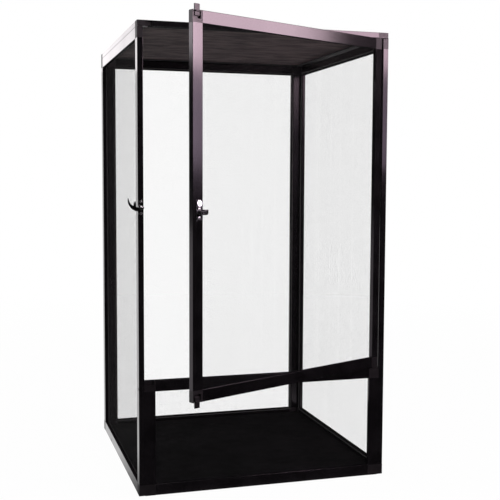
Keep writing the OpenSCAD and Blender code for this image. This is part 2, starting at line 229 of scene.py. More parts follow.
def add_cylinder(name: str, radius: float, depth: float, at: Sequence[float], sides: int = 48) -> Piece:
    """Adds a cylinder along Z, in millimetres.

    Args:
        name: Name of the object.
        radius: Its radius.
        depth: Its height.
        at: Centre of its lower face.
        sides: Number of sides.

    Returns:
        The cylinder, with its place in its mesh.
    """
    clear_selection()
    bpy.ops.mesh.primitive_cylinder_add(
        vertices=sides, radius=radius * MM, depth=depth * MM,
        location=Vector((at[0], at[1], at[2] + depth / 2)) * MM)
    return make_solid(bpy.context.object, name)


def add_block(name: str, low: Sequence[float], high: Sequence[float]) -> Piece:
    """Adds a box between two corners, in millimetres.

    Args:
        name: Name of the object.
        low: Its lowest corner.
        high: Its highest corner.

    Returns:
        The box, with its place in its mesh.
    """
    clear_selection()
    a, b = Vector(low) * MM, Vector(high) * MM
    bpy.ops.mesh.primitive_cube_add(size=1, location=(a + b) / 2, scale=b - a)
    return make_solid(bpy.context.object, name)


def add_plate(name: str, wide: float, high: float, thick: float, corner: float) -> Piece:
    """Adds a flat plate with rounded corners, from the origin, in millimetres.

    Args:
        name: Name of the plate.
        wide: Its width.
        high: Its height.
        thick: Its thickness.
        corner: Radius of its corners.

    Returns:
        The plate.
    """
    return round_corners(add_block(name, (0, 0, 0), (wide, high, thick)), corner, 8)


def finish_modifier(item: Piece, kind: str, **settings: object) -> Piece:
    """Adds a modifier, sets it and applies it.

    Args:
        item: The object.
        kind: Type of the modifier.
        settings: Its settings by name.

    Returns:
        The object.
    """
    pick(item)
    modifier = item.modifiers.new(kind.title(), kind)
    for key, value in settings.items():
        setattr(modifier, key, value)
    bpy.ops.object.modifier_apply(modifier=modifier.name)
    return item


def combine(item: Piece, other: Piece, how: str) -> Piece:
    """Joins, cuts or intersects with another solid, which is used up.

    Args:
        item: The solid that stays.
        other: The solid that works on it.
        how: UNION, DIFFERENCE or INTERSECT.

    Returns:
        The solid that stays.
    """
    finish_modifier(item, "BOOLEAN", operation=how, object=other, solver="EXACT")
    bpy.data.objects.remove(other)
    return item


def soften(item: Piece, width: float, segments: int = 2, angle: float = 32) -> Piece:
    """Rounds the sharp edges of a solid, in millimetres, and shades it smooth.

    Args:
        item: The solid.
        width: Width of the rounding.
        segments: Faces across it.
        angle: Edges sharper than this many degrees are rounded.

    Returns:
        The solid.
    """
    finish_modifier(item, "BEVEL", width=width * MM, segments=segments, limit_method="ANGLE",
                    angle_limit=radians(angle), harden_normals=False, miter_outer="MITER_ARC")
    return smooth_flats(item)


def smooth(item: Piece, angle: float = 35) -> Piece:
    """Shades smooth all but the edges sharper than an angle in degrees."""
    pick(item)
    bpy.ops.object.shade_smooth_by_angle(angle=radians(angle))
    return item


def smooth_flats(item: Piece) -> Piece:
    """Shades a solid smooth and keeps its flat faces flat beside their rounded edges."""
    return finish_modifier(smooth(item), "WEIGHTED_NORMAL", keep_sharp=True)


def weld(items: Sequence[Piece], name: str) -> Piece:
    """Makes one object of several.

    Args:
        items: The objects.
        name: Name of the result.

    Returns:
        The joined object.
    """
    first = pick(*items)
    if len(items) > 1:
        bpy.ops.object.join()
    first.name = first.data.name = name
    return first


def copy_to(item: Piece, place: Matrix) -> Piece:
    """Copies an object with a mesh of its own and moves the copy's mesh."""
    twin = item.copy()
    twin.data = item.data.copy()
    bpy.context.scene.collection.objects.link(twin)
    twin.data.transform(place)
    return twin


def set_in_place(item: Piece, place: Matrix) -> Piece:
    """Moves the mesh of a piece modelled at the bench to its place on the cage."""
    item.data.transform(place)
    item.data.update()
    return item


def face_front(x: float, y: float, z: float) -> Matrix:
    """Matrix that stands a piece drawn flat on its back against a front face."""
    return shift(x, y, z) @ turn(90, "X")


# -------- finishes

class NodeBench:
    """Adds and links the nodes of a material or of the world."""

    def __init__(self, owner: bpy.types.ID) -> None:
        """Empties the node tree of the material or world."""
        owner.use_nodes = True
        self.tree = owner.node_tree
        self.tree.nodes.clear()

    def put(self, node: bpy.types.Node, **values: object) -> None:
        """Sets constant inputs of a node, with underscores for spaces in their names."""
        for key, value in values.items():
            node.inputs[key.replace("_", " ")].default_value = value

    def add(self, kind: str, **values: object) -> bpy.types.Node:
        """Adds a node of one type and sets constant inputs of it."""
        node = self.tree.nodes.new(kind)
        self.put(node, **values)
        return node

    def link(self, source: Socket, target: Socket) -> None:
        """Links two sockets."""
        self.tree.links.new(source, target)

    def spread(self, value: Socket, low: float, high: float, start: float = 0.35,
               end: float = 0.65) -> Socket:
        """Maps a value to a range of numbers.

        Args:
            value: The value.
            low: Result at start.
            high: Result at end.
            start: The value that gives low.
            end: The value that gives high.

        Returns:
            The mapped value.
        """
        node = self.add("ShaderNodeMapRange", From_Min=start, From_Max=end, To_Min=low, To_Max=high)
        self.link(value, node.inputs["Value"])
        return node.outputs["Result"]


class FinishBench(NodeBench):
    """Builds one finish's material from patterns that read Object coordinates."""

    def __init__(self, name: str) -> None:
        """Starts a material with a Principled shader."""
        self.material = bpy.data.materials.new(name)
        super().__init__(self.material)
        self.shader = self.add("ShaderNodeBsdfPrincipled")
        self.link(self.shader.outputs["BSDF"], self.add("ShaderNodeOutputMaterial").inputs["Surface"])
        self.coords = self.add("ShaderNodeTexCoord").outputs["Object"]

    def noise(self, scale: float, detail: float = 3.0, stretch: Sequence[float] = (1, 1, 1)) -> Socket:
        """Adds a noise pattern.

        Args:
            scale: Cells per metre.
            detail: Octaves.
            stretch: Scale along each axis.

        Returns:
            Its value.
        """
        mapping = self.add("ShaderNodeMapping", Scale=stretch)
        self.link(self.coords, mapping.inputs["Vector"])
        texture = self.add("ShaderNodeTexNoise", Scale=scale, Detail=detail)
        self.link(mapping.outputs["Vector"], texture.inputs["Vector"])
        return texture.outputs["Fac"]

    def cells(self, scale: float) -> Socket:
        """Adds a cell pattern and returns its distance."""
        texture = self.add("ShaderNodeTexVoronoi", Scale=scale)
        self.link(self.coords, texture.inputs["Vector"])
        return texture.outputs["Distance"]

    def blend(self, pattern: Socket, dark: Colour, light: Colour, start: float = 0.35,
              end: float = 0.65) -> None:
        """Colours the shader by a pattern.

        Args:
            pattern: The pattern.
            dark: Colour at and below start.
            light: Colour at and above end.
            start: The pattern's value where the colour starts to pale.
            end: The pattern's value where it has paled.
        """
        node = self.add("ShaderNodeMix")
        node.data_type = "RGBA"
        self.put(node, A=(*dark, 1), B=(*light, 1))
        self.link(self.spread(pattern, 0, 1, start, end), node.inputs["Factor"])
        self.link(node.outputs["Result"], self.shader.inputs["Base Color"])

    def roughness(self, pattern: Socket, low: float, high: float) -> None:
        """Takes the roughness from a pattern, between two values."""
        self.link(self.spread(pattern, low, high), self.shader.inputs["Roughness"])

    def bump(self, value: Socket, strength: float, height: float) -> None:
        """Raises the surface by a pattern.

        Args:
            value: The pattern.
            strength: Strength of the bump.
            height: Its height in millimetres.
        """
        node = self.add("ShaderNodeBump", Strength=strength, Distance=height * MM)
        self.link(value, node.inputs["Height"])
        if self.shader.inputs["Normal"].is_linked:
            self.link(self.shader.inputs["Normal"].links[0].from_socket, node.inputs["Normal"])
        self.link(node.outputs["Normal"], self.shader.inputs["Normal"])

    def set(self, **values: object) -> None:
        """Sets constant inputs of the shader."""
        self.put(self.shader, **values)


@dataclass(frozen=True)
class AnodisedBlack:
    """Satin black anodised aluminium with a faint dry film of handling marks."""

    name: str = "anodised_black"
    dark: Colour = (0.0028, 0.0025, 0.0029)
    light: Colour = (0.0055, 0.0049, 0.0057)
    tint: Colour = (1.0, 0.86, 0.97)

    def material(self) -> Material:
        """Builds the material."""
        bench = FinishBench(self.name)
        bench.blend(bench.noise(38, 4), self.dark, self.light)
        bench.roughness(bench.noise(9, 5), 0.11, 0.16)
        bench.bump(bench.noise(1500, 2), 0.10, 0.02)
        bench.set(Specular_IOR_Level=0.5, Specular_Tint=(*self.tint, 1), IOR=1.5)
        return bench.material


@dataclass(frozen=True)
class MouldedBlack:
    """Black moulded nylon with a spark-eroded texture."""

    name: str = "moulded_black"
    dark: Colour = (0.0040, 0.0036, 0.0040)
    light: Colour = (0.0080, 0.0072, 0.0080)
    tint: Colour = (1.0, 0.88, 0.97)

    def material(self) -> Material:
        """Builds the material."""
        bench = FinishBench(self.name)
        bench.blend(bench.noise(60, 4), self.dark, self.light)
        bench.roughness(bench.noise(25, 4), 0.38, 0.48)
        bench.bump(bench.noise(2600, 2), 0.22, 0.04)
        bench.bump(bench.noise(300, 2), 0.05, 0.05)
        bench.set(Specular_Tint=(*self.tint, 1))
        return bench.material


@dataclass(frozen=True)
class CoatedWire:
    """Thin black coating on drawn wire, paler in broad patches; the roof's variant is painted light, paler
    and browner where white shows through its weave.
    """

    name: str = "coated_wire"
    dark: Colour = (0.005, 0.0046, 0.005)
    light: Colour = (0.013, 0.012, 0.013)
    patches: tuple[float, float, float] = (220, 220, 220)

    def material(self) -> Material:
        """Builds the material."""
        bench = FinishBench(self.name)
        bench.blend(bench.noise(1, 3, self.patches), self.dark, self.light, 0.4, 0.6)
        bench.roughness(bench.noise(700, 2), 0.40, 0.52)
        bench.set(Specular_IOR_Level=0.3)
        return bench.material


@dataclass(frozen=True)
class BlackRubber:
    """Matt black rubber cord with fine drawn lines."""

    name: str = "black_rubber"
    dark: Colour = (0.010, 0.010, 0.010)
    light: Colour = (0.020, 0.019, 0.020)

    def material(self) -> Material:
        """Builds the material."""
        bench = FinishBench(self.name)
        bench.blend(bench.noise(120, 4), self.dark, self.light)
        bench.roughness(bench.noise(90, 3), 0.62, 0.78)
        bench.bump(bench.noise(1800, 3), 0.25, 0.05)
        return bench.material


@dataclass(frozen=True)
class BlackSheet:
    """Black rigid sheet with an embossed leather grain and light scuffs."""

    name: str = "black_sheet"
    dark: Colour = (0.0026, 0.0024, 0.0028)
    light: Colour = (0.0050, 0.0046, 0.0053)

    def material(self) -> Material:
        """Builds the material."""
        bench = FinishBench(self.name)
        bench.blend(bench.noise(14, 6), self.dark, self.light)
        bench.roughness(bench.noise(45, 5), 0.72, 0.86)
        bench.bump(bench.cells(900), 0.18, 0.06)
        bench.bump(bench.noise(160, 3), 0.06, 0.08)
        bench.set(Specular_IOR_Level=0.06)
        return bench.material


@dataclass(frozen=True)
class PolishedChrome:
    """Bright chrome plate over a slightly uneven casting."""

    name: str = "polished_chrome"
    dark: Colour = (0.66, 0.64, 0.67)
    light: Colour = (0.82, 0.81, 0.83)

    def material(self) -> Material:
        """Builds the material."""
        bench = FinishBench(self.name)
        bench.blend(bench.noise(170, 3), self.dark, self.light)
        bench.roughness(bench.noise(420, 4), 0.07, 0.16)
        bench.bump(bench.noise(240, 2), 0.06, 0.06)
        bench.set(Metallic=1.0)
        return bench.material


@dataclass(frozen=True)
class PlatedSteel:
    """Zinc-plated steel of screws and pins, with turning marks."""

    name: str = "plated_steel"
    dark: Colour = (0.34, 0.33, 0.35)
    light: Colour = (0.55, 0.54, 0.56)
    rough: tuple[float, float] = (0.22, 0.36)

    def material(self) -> Material:
        """Builds the material."""
        bench = FinishBench(self.name)
        bench.blend(bench.noise(600, 4), self.dark, self.light)
        bench.roughness(bench.noise(1300, 3), *self.rough)
        bench.bump(bench.noise(2200, 2), 0.10, 0.02)
        bench.set(Metallic=1.0)
        return bench.material


class Finish(Enum):
    """Every finish on the cage."""

    FRAME = AnodisedBlack()
    BLOCK = MouldedBlack()
    WIRE = CoatedWire()
    # Roof wire is painted light: its paler, browner colour in long patches stands in for the white seen from
    # above through the weave.
    ROOF_WIRE = CoatedWire(name="roof_wire_painted_see_through", dark=(0.026, 0.020, 0.021), light=(0.068, 0.052, 0.052),
                           patches=(20, 80, 8))
    RUBBER = BlackRubber()
    SHEET = BlackSheet()
    CHROME = PolishedChrome()
    STEEL = PlatedSteel()
    BLACK_STEEL = PlatedSteel(name="black_steel", dark=(0.02, 0.02, 0.021), light=(0.05, 0.049, 0.052),
                              rough=(0.34, 0.5))


class Finishes:
    """Makes each finish's material once and hands it out."""

    def __init__(self) -> None:
        """Starts with no material made."""
        self.made: dict[Finish, Material] = {}

    def get(self, finish: Finish) -> Material:
        """Returns the material of a finish."""
        if finish not in self.made:
            self.made[finish] = finish.value.material()
        return self.made[finish]

    def dress(self, item: Piece, finish: Finish) -> None:
        """Gives an object one finish all over."""
        material = self.get(finish)
        if not item.material_slots:
            item.data.materials.append(material)
        for place in item.material_slots:
            place.material = material


FINISHES = Finishes()


def hand_over(item: Piece, finish: Finish, body: str, node: str) -> None:
    """Dresses a finished piece and ties it to the frame.

    Args:
        item: The piece, in its place.
        finish: Its finish.
        body: The body that it rides on.
        node: The CAD node that it stands for.
    """
    FINISHES.dress(item, finish)
    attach(item, body)
    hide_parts(node)
    log.info("%s rides on %s, %d faces", item.name, body, len(item.data.polygons))


# -------- screen panels

@dataclass
class ScreenPanel:
    """One framed screen panel, whose mesh and cord are modelled here.

    The panel is drawn with its inner face on Z = 0, its width along X and its
    height along Y, in millimetres, and stood up by its place.
    """

    name: str
    body: str
    width: float
    height: float
    place: Matrix
    pitch: float = 2.0
    wire: float = 0.075
    stand_off: float = 0.45
    mesh_gap: float = 0.2
    cord: float = 3.0
    cord_corner: float = 2.2
    cord_squeeze: float = 0.98
    finish: Finish = Finish.WIRE

    @property
    def inset(self) -> float:
        """Distance from the panel's edge to where the mesh ends."""
        return CAGE.bar - CAGE.step + self.mesh_gap

    def wire_row(self, length: float, across: float, name: str) -> Piece:
        """Models one wire along Y and repeats it along X.

        Args:
            length: Length of a wire.
            across: Width that the row fills.
            name: Name of the row.

        Returns:
            The row, centred on the origin.
        """
        count = int(across // self.pitch)
        wire = add_cylinder(name, self.wire / 2, length, (0, 0, -length / 2), sides=6)
        wire.data.transform(turn(90, "X"))
        finish_modifier(wire, "ARRAY", use_relative_offset=False, use_constant_offset=True,
                        constant_offset_displace=(self.pitch * MM, 0, 0), count=count)
        wire.data.transform(shift(-self.pitch * (count - 1) / 2, 0, 0))
        return wire

    def build_mesh(self) -> Piece:
        """Models the woven mesh as two crossing rows of wires."""
        wide, high = self.width - 2 * self.inset, self.height - 2 * self.inset
        level = CAGE.step_depth - CAGE.mesh_thick / 2
        upright = self.wire_row(high, wide, self.name + "_upright")
        level_row = self.wire_row(wide, high, self.name + "_level")
        level_row.data.transform(turn(90, "Z"))
        for row, side in ((upright, 1), (level_row, -1)):
            z = level + side * self.wire * self.stand_off
            row.data.transform(shift(self.width / 2, self.height / 2, z))
        piece = smooth(weld([upright, level_row], self.name + "_weave"), 80)
        return set_in_place(piece, self.place)

    def build_cord(self) -> Piece:
        """Models the rubber cord that holds the mesh in its step."""
        clear_selection()
        reach = self.inset + self.cord / 2
        level = CAGE.step_depth - CAGE.mesh_thick - self.cord / 2
        middle = Vector((self.width / 2, self.height / 2, level)) * MM
        bpy.ops.mesh.primitive_plane_add(size=1, location=middle)
        loop = bpy.context.object
        loop.scale = ((self.width - 2 * reach) * MM, (self.height - 2 * reach) * MM, 1)
        make_solid(loop, self.name + "_cord")
        with editing(loop):
            bpy.ops.mesh.select_all(action="SELECT")
            bpy.ops.mesh.delete(type="ONLY_FACE")
            bpy.ops.mesh.select_mode(type="VERT")
            bpy.ops.mesh.select_all(action="SELECT")
            bpy.ops.mesh.bevel(offset=self.cord_corner * MM, segments=4, affect="VERTICES")
        pick(loop)
        bpy.ops.object.convert(target="CURVE")
        loop = bpy.context.object
        loop.data.bevel_depth = self.cord / 2 * MM * self.cord_squeeze
        loop.data.bevel_resolution = 3
        bpy.ops.object.convert(target="MESH")
        piece = smooth(bpy.context.object, 60)
        piece.name = piece.data.name = self.name + "_cord"
        return set_in_place(piece, self.place)

    def build(self) -> None:
        """Models the panel's mesh and cord and hands them over."""
        node = "door" if self.body == "door" else self.name
        hand_over(self.build_mesh(), self.finish, self.body, node + "_mesh")
        hand_over(self.build_cord(), Finish.RUBBER, self.body, node + "_spline")


def all_panels() -> list[ScreenPanel]:
    """Lists the six screen panels with their places."""
    wall, half_w, half_d, half_in = CAGE.wall_height, CAGE.width / 2, CAGE.depth / 2, CAGE.inner / 2
    door_low = CAGE.front_panel + CAGE.door_gap
    door_place = on_door() @ shift(CAGE.free_gap - half_in, CAGE.thick - half_d, door_low)
    return [
        ScreenPanel("left_panel", "cage", CAGE.depth, wall,
                    shift(CAGE.thick - half_w, half_d, 0) @ turn(-90, "Z") @ turn(90, "X")),
        ScreenPanel("right_panel", "cage", CAGE.depth, wall,
                    shift(half_w - CAGE.thick, -half_d, 0) @ turn(90, "Z") @ turn(90, "X")),
        ScreenPanel("rear_panel", "cage", CAGE.inner, wall,
                    shift(half_in, half_d - CAGE.thick, 0) @ turn(180, "Z") @ turn(90, "X")),
        ScreenPanel("front_panel", "cage", CAGE.inner, CAGE.front_panel,
                    shift(-half_in, CAGE.thick - half_d, 0) @ turn(90, "X")),
        ScreenPanel("roof_panel", "cage", CAGE.width, CAGE.depth, shift(-half_w, -half_d, wall),
                    pitch=1.6, wire=0.28, finish=Finish.ROOF_WIRE),
        ScreenPanel("door_panel", "door", CAGE.door_width, CAGE.door_height, door_place @ turn(90, "X")),
    ]


# -------- screws

@dataclass
class Screw:
    """Countersunk screw with a cross recess, drawn along -Z with its head on Z = 0.

    The point, rim, ring, dome steps and recess are shares of its other sizes.
    """

    radius: float
    head: float
    length: float
    sink: float = 1.1
    dome: float = 0.0
    point: float = 0.25
    rim: float = 0.12
    ring: float = 0.3
    dome_steps: tuple[float, float] = (0.7, 0.3)
    recess_arm: float = 0.52
    recess_half: float = 0.11
    recess_deep: float = 0.85
    recess_taper: tuple[float, float] = (0.35, 0.8)

    def build(self, name: str) -> Piece:
        """Models one screw.

        Args:
            name: Name of the object.

        Returns:
            The screw at the origin.
        """
        screw = add_cylinder(name, self.head, self.sink, (0, 0, -self.sink), sides=28)
        neck = self.radius / self.head
        with editing(screw):
            choose_faces(screw, DOWN)
            resize(neck, neck, (0, 0, -self.sink))
            extrude(self.sink + self.radius - self.length)
            extrude(-self.radius)
            resize(self.point, self.point, (0, 0, -self.length))
            choose_faces(screw, UP)
            bpy.ops.mesh.inset(thickness=self.head * self.rim * MM)
            for share in self.dome_steps if self.dome else ():
                bpy.ops.mesh.inset(thickness=self.head * self.ring * MM)
                bpy.ops.transform.translate(value=(0, 0, self.dome * share * MM))
        arm, half = self.head * self.recess_arm, self.head * self.recess_half
        deep = self.sink * self.recess_deep
        for angle in (0, 90):
            blade = add_block("recess", (-arm, -half, -deep), (arm, half, 1))
            with editing(blade):
                choose_faces(blade, DOWN)
                resize(*self.recess_taper, (0, 0, -deep))
            blade.data.transform(turn(angle, "Z"))
            combine(screw, blade, "DIFFERENCE")
        return smooth(screw)


@dataclass
class ScrewSet:
    """Screws of one kind that one node holds."""

    name: str
    body: str
    screw: Screw
    places: list[Matrix]
    finish: Finish
    slot: str = "screw_steel"
    twist: float = 37

    def build(self) -> None:
        """Models one screw, copies it to every place and hands the set over."""
        first = self.screw.build(self.name)
        copies = [copy_to(first, place @ turn(self.twist * n, "Z")) for n, place in enumerate(self.places)]
        bpy.data.objects.remove(first)
        hand_over(weld(copies, self.name + "_detailed"), self.finish, self.body, self.name)


PANEL_SCREW = Screw(radius=1.5, head=3.0, length=21.5)
PLATE_SCREW = Screw(radius=1.4, head=2.6, length=8.0, dome=0.4)


def side_screw_places(side: int) -> list[Matrix]:
    """Places of the screws through a side wall.

    Args:
        side: -1 for the left wall and 1 for the right one.

    Returns:
        One matrix for each screw.
    """
    near, low = (CAGE.thick - CAGE.depth) / 2, CAGE.bar / 2
    board = [(way * CAGE.depth / 4, CAGE.thick / 2) for way in (-1, 1)]
    spots = [(near, low), (near, CAGE.front_panel - CAGE.bar + CAGE.thick / 2), (-near, low),
             (-near, CAGE.wall_height - low), *board]
    return [shift(side * CAGE.width / 2, y, z) @ turn(90 * side, "Y") for y, z in spots]


def roof_screw_places() -> list[Matrix]:
    """Places of the screws through the roof's corner blocks."""
    x, y = (CAGE.width - CAGE.thick) / 2, (CAGE.depth - CAGE.bar) / 2
    return [shift(a * x, b * y, CAGE.height) for a in (-1, 1) for b in (-1, 1)]


# -------- latch and bolts

@dataclass
class Latch:
    """Crescent lever on its plate, and the keeper on the door, all chromed."""

    height: float = 492.0
    plate: float = 1.2
    boss: float = 1.1
    play: float = 0.2
    lever: float = 3.2
    crescent_r: float = 19.0
    crescent_x: float = -3.75
    crescent_low: float = 6.0
    crescent_top: float = 15.5
    scoop_r: float = 16.0
    scoop_x: float = -1.5
    scoop_low: float = 1.0
    hub_r: float = 4.6
    rivet_r: float = 1.8
    rivet_head: float = 3.4
    rivet_head_h: float = 1.3
    rivet_taper: float = 0.55
    clearance: float = 0.05
    sunk: float = 0.5
    plate_w: float = 9.0
    plate_h: float = 28.0
    corner: float = 2.0
    inset: float = 4.0
    keeper_w: float = 12.0
    keeper_h: float = 31.0
    keeper_x: float = 6.0
    keeper_rise: float = 1.0
    hook_h: float = 8.0
    hook_t: float = 1.4
    curl_r: float = 3.4
    curl_inset: float = 1.0
    curl_rise: float = 0.6
    curl_foot: float = 0.1
    cap_w: float = 9.5
    cap_h: float = 10.0
    cap_t: float = 1.0
    cap_slope: float = 5.4

    @property
    def x(self) -> float:
        """Place of the pivot across the front."""
        return (CAGE.thick - CAGE.width) / 2

    @property
    def front(self) -> float:
        """Place of the cage's front face."""
        return -CAGE.depth / 2

    @property
    def crescent_centre(self) -> tuple[float, float]:
        """Centre of the outer arc, from the pivot."""
        return (self.crescent_x, self.crescent_r - self.crescent_low)

    @property
    def keeper_left(self) -> float:
        """Left edge of the keeper plate with the door closed."""
        return CAGE.free_gap - CAGE.inner / 2 + self.keeper_x

    @property
    def keeper_low(self) -> float:
        """Lower edge of the keeper plate."""
        return self.height - self.keeper_h / 2 + self.keeper_rise

    def bore(self, item: Piece) -> None:
        """Bores the rivet's hole through the lever or its plate."""
        drill = add_cylinder("bore", self.rivet_r + self.clearance, 6, (0, 0, -1), sides=32)
        combine(item, drill, "DIFFERENCE")

    def build_lever(self) -> Piece:
        """Models the crescent lever with its finger tab."""
        cx, cy = self.crescent_centre
        lever = add_cylinder("crescent_lever", self.crescent_r, self.lever, (cx, cy, 0), sides=96)
        scoop_at = (cx + self.scoop_x, self.scoop_r + self.scoop_low, -1)
        combine(lever, add_cylinder("scoop", self.scoop_r, self.lever + 2, scoop_at, sides=96), "DIFFERENCE")
        limit = 2 * self.crescent_r
        keep = add_block("keep", (-limit, -limit, -1), (self.hub_r / 2, self.crescent_top, self.lever + 1))
        combine(lever, keep, "INTERSECT")
        combine(lever, add_cylinder("hub", self.hub_r, self.lever, (0, 0, 0), sides=64), "UNION")
        tab = add_block("tab", (0, 0, 0), (1, 1, self.lever))
        corners = {(0, 0): (-13.5, 2.5), (1, 0): (-8.3, -1.0), (1, 1): (-9.3, 10.8), (0, 1): (-12.3, 8.5)}
        for vert in tab.data.vertices:
            x, y = corners[(round(vert.co.x / MM), round(vert.co.y / MM))]
            vert.co.x, vert.co.y = x * MM, y * MM
        combine(lever, tab, "UNION")
        self.bore(lever)
        soften(lever, 0.7, 4)
        back = self.front - self.plate - self.boss - self.play
        return set_in_place(lever, face_front(self.x, back, self.height))

    def build_plate(self) -> Piece:
        """Models the latch plate with the boss that the lever turns on."""
        plate = add_plate("latch_plate_detailed", self.plate_w, self.plate_h, self.plate, self.corner)
        plate.data.transform(shift(-self.plate_w / 2, -self.plate_h / 2, 0))
        boss = add_cylinder("boss", self.rivet_head, self.boss + self.sunk, (0, 0, self.plate - self.sunk))
        combine(plate, boss, "UNION")
        self.bore(plate)
        for side in (-1, 1):
            self.countersink(plate, 0, side * (self.plate_h / 2 - self.inset), self.plate)
        soften(plate, 0.25, 2)
        return set_in_place(plate, face_front(self.x, self.front, self.height))

    def countersink(self, plate: Piece, x: float, y: float, top: float) -> None:
        """Cuts the seat of a plate screw.

        Args:
            plate: The plate, lying flat.
            x: Place across it.
            y: Place along it.
            top: Height of its face.
        """
        head, sink = PLATE_SCREW.head + self.clearance, PLATE_SCREW.sink
        neck = (PLATE_SCREW.radius + self.clearance) / head
        seat = add_cylinder("seat", head, sink + 0.4, (x, y, top - sink), sides=32)
        with editing(seat):
            choose_faces(seat, DOWN)
            resize(neck, neck, (x, y, 0))
            extrude(-2)
        combine(plate, seat, "DIFFERENCE")

    def build_rivet(self) -> Piece:
        """Models the domed rivet that the lever turns on."""
        grip = self.plate + self.boss + self.lever + 2 * self.play
        rivet = add_cylinder("latch_rivet_detailed", self.rivet_r, grip, (0, 0, 0), sides=32)
        head = add_cylinder("head", self.rivet_head, self.rivet_head_h, (0, 0, grip), sides=40)
        with editing(head):
            choose_faces(head, UP)
            resize(self.rivet_taper, self.rivet_taper, (0, 0, grip + self.rivet_head_h))
        soften(head, 0.3, 4, 20)
        smooth_flats(combine(rivet, head, "UNION"))
        return set_in_place(rivet, face_front(self.x, self.front, self.height))

    def build_keeper(self) -> Piece:
        """Models the keeper: a plate with a raised cap, and a hook that turns back with a curled tip."""
        keeper = add_plate("door_keeper_detailed", self.keeper_w, self.keeper_h, self.plate, self.corner)
        cx, cy = self.crescent_centre
        tip_x = cx - sqrt(self.crescent_r ** 2 - (self.crescent_top - cy) ** 2)
        reach = sqrt(tip_x ** 2 + self.crescent_top ** 2)
        hook_x = self.x + reach + 4 * self.play - self.keeper_left
        lip_x = hook_x - self.keeper_w
        out = self.plate + self.boss + 3 * self.play + self.lever
        low = self.height - self.corner - self.hook_h / 2 - self.keeper_low
        high = low + self.hook_h
        edge, face = hook_x + self.hook_t, out + self.hook_t
        foot = add_block("foot", (self.keeper_w - self.corner, low, 0), (edge, high, self.plate))
        combine(foot, add_block("wall", (hook_x, low, 0), (edge, high, face)), "UNION")
        combine(foot, add_block("lip", (lip_x, low, out), (edge, high, face)), "UNION")
        round_below = add_plate("round_below", edge - lip_x, self.hook_h + self.curl_r, face, self.curl_r)
        round_below.data.transform(shift(lip_x, low, 0))
        combine(foot, round_below, "INTERSECT")
        curl_at = (edge - self.curl_inset - self.curl_r, high + self.curl_rise, self.plate + self.curl_foot)
        combine(foot, add_cylinder("scoop", self.curl_r, face, curl_at, sides=64), "DIFFERENCE")
        combine(keeper, foot, "UNION")
        for y in (self.inset, self.keeper_h - self.cap_h - self.inset):
            self.countersink(keeper, self.keeper_w / 2, y, self.plate)
        soften(keeper, 0.28, 2)
        smooth_flats(combine(keeper, self.build_cap(), "UNION"))
        return set_in_place(keeper, on_door() @ face_front(self.keeper_left, self.front, self.keeper_low))

    def build_cap(self) -> Piece:
        """Models the keeper's oval cap, a ramp that is thickest above the hook."""
        foot = self.plate / 2
        cap = add_cylinder("cap", self.cap_h / 2, self.plate + self.cap_t / 2 - foot, (0, 0, 0), sides=64)
        place = shift(self.keeper_w / 2, self.keeper_h - self.cap_h / 2, foot)
        oval = Matrix.Diagonal((self.cap_w / self.cap_h, 1, 1, 1))
        cap.data.transform(place @ turn(-self.cap_slope, "X") @ oval)
        return soften(cap, 0.3, 3)

    def plate_screws(self) -> list[Matrix]:
        """Places of the latch plate's screws."""
        reach = self.plate_h / 2 - self.inset
        return [face_front(self.x, self.front - self.plate, self.height + way * reach) for way in (-1, 1)]

    def keeper_screws(self) -> list[Matrix]:
        """Places of the keeper's screws."""
        return [on_door() @ face_front(self.keeper_left + self.keeper_w / 2, self.front - self.plate,
                                       self.keeper_low + z)
                for z in (self.inset, self.keeper_h - self.cap_h - self.inset)]

    def build(self) -> None:
        """Models the latch and hands its pieces over."""
        hand_over(self.build_lever(), Finish.CHROME, "latch_lever", "latch_lever")
        hand_over(self.build_plate(), Finish.CHROME, "cage", "latch_plate")
        hand_over(self.build_rivet(), Finish.CHROME, "cage", "latch_rivet")
        hand_over(self.build_keeper(), Finish.CHROME, "door", "door_keeper")
        ScrewSet("latch_screws", "cage", PLATE_SCREW, self.plate_screws(), Finish.STEEL).build()
        ScrewSet("keeper_screws", "door", PLATE_SCREW, self.keeper_screws(), Finish.STEEL).build()


@dataclass
class FingerBolt:
    """Sliding bolt with a ribbed finger tab, in a slot of the door's free corner."""

    name: str
    at_top: bool
    wide: float = 9.5
    thick: float = 2.4
    inside: float = 8.6
    outside: float = 9.0
    from_edge: float = 5.0
    set_back: float = 1.5
    corner: float = 0.6
    tab: float = 2.2
    tab_below: float = 0.4
    tab_rise: float = 0.6
    tab_sunk: float = 0.2
    ribs: int = 3
    groove_half: float = 0.14
    groove_deep: float = 0.35
    beyond: float = 1.0

    def build_tab(self, top: float) -> Piece:
        """Models the finger tab, grooved between its ribs.

        Args:
            top: Height of the bolt's face under the tab.

        Returns:
            The tab, with the door's edge on Y = 0.
        """
        half, face = self.wide / 2 - self.corner, top + self.set_back + self.tab_rise
        low = -self.tab_below - self.tab
        past = half + self.beyond
        tab = add_block("tab", (-half, low, top - self.tab_sunk), (half, -self.tab_below, face))
        for n in range(1, self.ribs):
            y = low + n * self.tab / self.ribs
            groove = add_block("groove", (-past, y - self.groove_half, face - self.groove_deep),
                               (past, y + self.groove_half, face + self.beyond))
            combine(tab, groove, "DIFFERENCE")
        return soften(tab, 0.1, 2)

    def build(self, door: Matrix) -> None:
        """Models the bolt and hands it over.

        Args:
            door: Place of the door panel, drawn with its inner face on Z = 0.
        """
        low = CAGE.thick - self.set_back - self.thick
        bolt = add_block(self.name + "_detailed", (-self.wide / 2, -self.inside, low),
                         (self.wide / 2, self.outside, low + self.thick))
        soften(round_corners(bolt, self.corner, 5), 0.25, 3)
        smooth_flats(combine(bolt, self.build_tab(low + self.thick), "UNION"))
        level, facing = (CAGE.door_height, 0) if self.at_top else (0, 180)
        set_in_place(bolt, door @ shift(self.from_edge + self.wide / 2, level, 0) @ turn(facing, "Z"))
        hand_over(bolt, Finish.BLOCK, self.name, self.name)


# -------- carried-over solids

